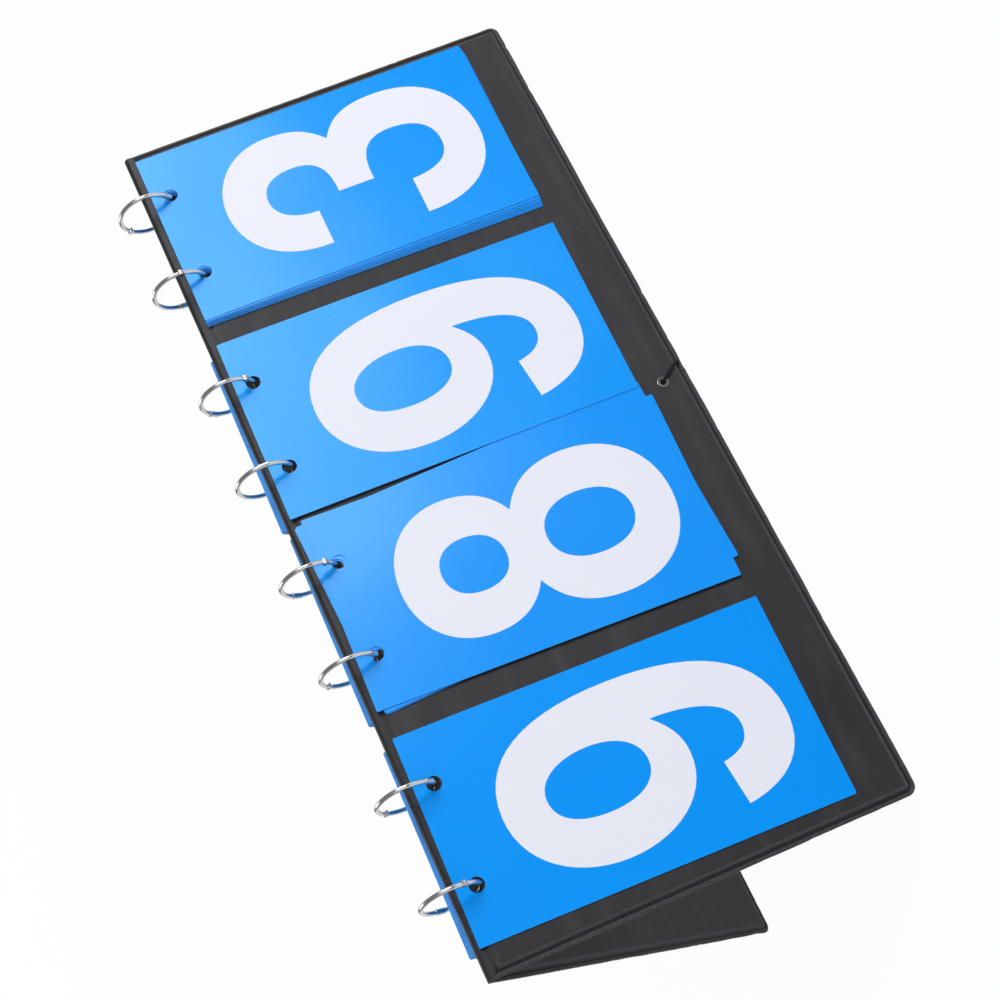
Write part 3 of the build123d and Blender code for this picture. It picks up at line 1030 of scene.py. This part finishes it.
def tube_mesh(name, path, radius, closed=False, sides=16, rib_pitch=0.0016):
    """A round cord along a path, with UVs that run round it and along it for the braid."""
    form = bmesh.new()
    uv = form.loops.layers.uv.new("braid")
    rings, along = [], [0.0]
    for before, here in zip(path, path[1:]):
        along.append(along[-1] + (here - before).length)
    side = None
    count = len(path)
    for i, point in enumerate(path):
        if closed:
            heading = (path[(i + 1) % count] - path[i - 1]).normalized()
        else:
            heading = (path[min(i + 1, count - 1)] - path[max(i - 1, 0)]).normalized()
        if side is None:
            up = Vector((0, 0, 1)) if abs(heading.z) < 0.9 else Vector((1, 0, 0))
            side = heading.cross(up).normalized()
        side = (side - heading * side.dot(heading)).normalized()
        across = heading.cross(side)
        ring = []
        for k in range(sides):
            angle = 2 * math.pi * k / sides
            spoke = math.cos(angle) * side + math.sin(angle) * across
            ring.append(form.verts.new(point + radius * spoke))
        rings.append(ring)
    spans = list(zip(range(count), range(1, count))) + ([(count - 1, 0)] if closed else [])
    for i, j in spans:
        ahead = along[j] if j > i else along[i] + (path[j] - path[i]).length
        for k in range(sides):
            after = (k + 1) % sides
            face = form.faces.new((rings[i][k], rings[i][after], rings[j][after], rings[j][k]))
            places = ((k, along[i]), (k + 1, along[i]), (k + 1, ahead), (k, ahead))
            for loop, (u, v) in zip(face.loops, places):
                loop[uv].uv = (u / sides, v / rib_pitch)
    if not closed:
        form.faces.new(rings[0])
        form.faces.new(rings[-1])
    return bmesh_to_mesh(form, name)


cord_line = smooth_line("cord_line", cord_route())
cord_tube = tube_mesh("stay_cord_braid", cord_line, CORD_MM / 2 * MM)
cord = add_piece("stay_cord_braid", cord_tube, CORD, 60)
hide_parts("stay_cord")
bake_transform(cord)


KNOT_STEPS = 30
KNOT_BIGHT_MM, KNOT_LAY_MM = 0.5, 0.62


def knot_mesh(side):
    """An overhand knot pulled tight against the eyelet."""
    page = page_frame(side)
    middle_y, middle_z = -EYELET_DROP_MM, -EYELET_FACE_MM - KNOT_SEAT_MM
    points = []
    for i in range(KNOT_STEPS):
        t = 2 * math.pi * i / KNOT_STEPS
        x = KNOT_BIGHT_MM * (math.sin(t) + 1.5 * math.sin(2 * t))
        y = middle_y + KNOT_BIGHT_MM * (math.cos(t) - 1.5 * math.cos(2 * t))
        z = middle_z - KNOT_LAY_MM * math.sin(3 * t)
        points.append(page @ Vector((x, y, z)))
    line = smooth_line(f"{side}_knot_line", points, closed=True)
    return tube_mesh(f"{side}_knot_turns", line, CORD_MM / 2 * MM, closed=True)


for side in ("front", "back"):
    knot = add_piece(f"{side}_knot_turns", knot_mesh(side), CORD, 60)
    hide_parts(f"{side}_knot")
    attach(knot, f"{side}_panel")


# ---- Studio ---------------------------------------------------------------------------------


def paper_floor():
    """White paper that keeps the object's soft shadow and stays white for the eye and in metal."""
    material = bpy.data.materials.new("white_paper")
    material.use_nodes = True
    tree = material.node_tree
    shader = tree.nodes["Principled BSDF"]
    shader.inputs["Base Color"].default_value = (0.8, 0.8, 0.8, 1)
    shader.inputs["Roughness"].default_value = 0.9
    glow = add_node(tree, "Emission", {"Color": (1, 1, 1, 1), "Strength": 1.0})
    seen = add_node(tree, "LightPath")
    shown = combine(tree, "MAXIMUM", seen.outputs["Is Camera Ray"], seen.outputs["Is Glossy Ray"])
    shown = combine(tree, "MAXIMUM", shown, seen.outputs["Is Transmission Ray"])
    place = tree.nodes.new("ShaderNodeTexCoord")
    away = add_node(tree, "VectorMath", {0: place.outputs["Object"]}, operation="LENGTH")
    glow_share = set_range(tree, away.outputs["Value"], 0.96, 1.0, 0.35, 1.5)
    share = combine(tree, "MULTIPLY", shown, glow_share)
    blend = add_node(
        tree, "MixShader", {0: share, 1: shader.outputs["BSDF"], 2: glow.outputs["Emission"]}
    )
    tree.links.new(blend.outputs["Shader"], tree.nodes["Material Output"].inputs["Surface"])
    mesh = bpy.data.meshes.new("paper_floor")
    half = 6.0
    sheet = [(-half, -half, 0), (half, -half, 0), (half, half, 0), (-half, half, 0)]
    mesh.from_pydata(sheet, [], [(0, 1, 2, 3)])
    mesh.materials.append(material)
    floor = bpy.data.objects.new("paper_floor", mesh)
    bpy.context.scene.collection.objects.link(floor)
    floor.location.z = -0.0002


def studio_world():
    """A dim cool surround for the light, and plain white where the camera sees it."""
    world = bpy.data.worlds.new("studio_surround")
    bpy.context.scene.world = world
    world.use_nodes = True
    tree = world.node_tree
    tree.nodes.clear()
    lit = add_node(tree, "Background", {"Color": (0.95, 0.97, 1.0, 1), "Strength": 0.27})
    seen_white = add_node(tree, "Background", {"Color": (1, 1, 1, 1), "Strength": 1.0})
    seen = add_node(tree, "LightPath")
    backgrounds = (lit.outputs["Background"], seen_white.outputs["Background"])
    blend = add_node(
        tree,
        "MixShader",
        {0: seen.outputs["Is Camera Ray"], 1: backgrounds[0], 2: backgrounds[1]},
    )
    output = tree.nodes.new("ShaderNodeOutputWorld")
    tree.links.new(blend.outputs["Shader"], output.inputs["Surface"])


LIT_POINT = Vector((0, 0, 0.08))


def softbox(name, place, size, watts):
    """A rectangular lamp that faces the middle of the object."""
    lamp = bpy.data.lights.new(name, "AREA")
    lamp.shape = "RECTANGLE"
    lamp.size, lamp.size_y = size
    lamp.energy = watts
    box = bpy.data.objects.new(name, lamp)
    box.location = place
    box.rotation_mode = "QUATERNION"
    box.rotation_quaternion = (LIT_POINT - Vector(place)).to_track_quat("-Z", "Y")
    bpy.context.scene.collection.objects.link(box)


def place_camera():
    """Looks down the board from its left, rolled so that the numerals lie on their backs."""
    right = Vector((-0.40414, -0.32537, -0.85487))
    down = Vector((-0.81647, 0.54966, 0.17679))
    ahead = Vector((0.41236, 0.76942, -0.48780))
    eye = Vector((-0.37154, -0.68548, 0.34220 + APEX_HEIGHT_MM * MM))
    lens = bpy.data.cameras.new("camera")
    lens.sensor_width = 36.0
    lens.lens = 78.34
    lens.clip_start, lens.clip_end = 0.01, 50.0
    camera = bpy.data.objects.new("camera", lens)
    pose = Matrix.Identity(4)
    for column, axis in enumerate((right, -down, -ahead, eye)):
        for row in range(3):
            pose[row][column] = axis[row]
    camera.matrix_world = pose
    bpy.context.scene.collection.objects.link(camera)
    bpy.context.scene.camera = camera


paper_floor()
studio_world()
place_camera()
softbox("key_softbox", place=(1.55, -1.8, 1.25), size=(1.5, 1.4), watts=50)
softbox("fill_softbox", place=(-1.6, -1.4, 1.2), size=(1.6, 1.6), watts=9)
softbox("back_softbox", place=(0.2, 1.8, 1.6), size=(1.8, 1.2), watts=16)
bpy.context.scene.view_settings.view_transform = "Standard"
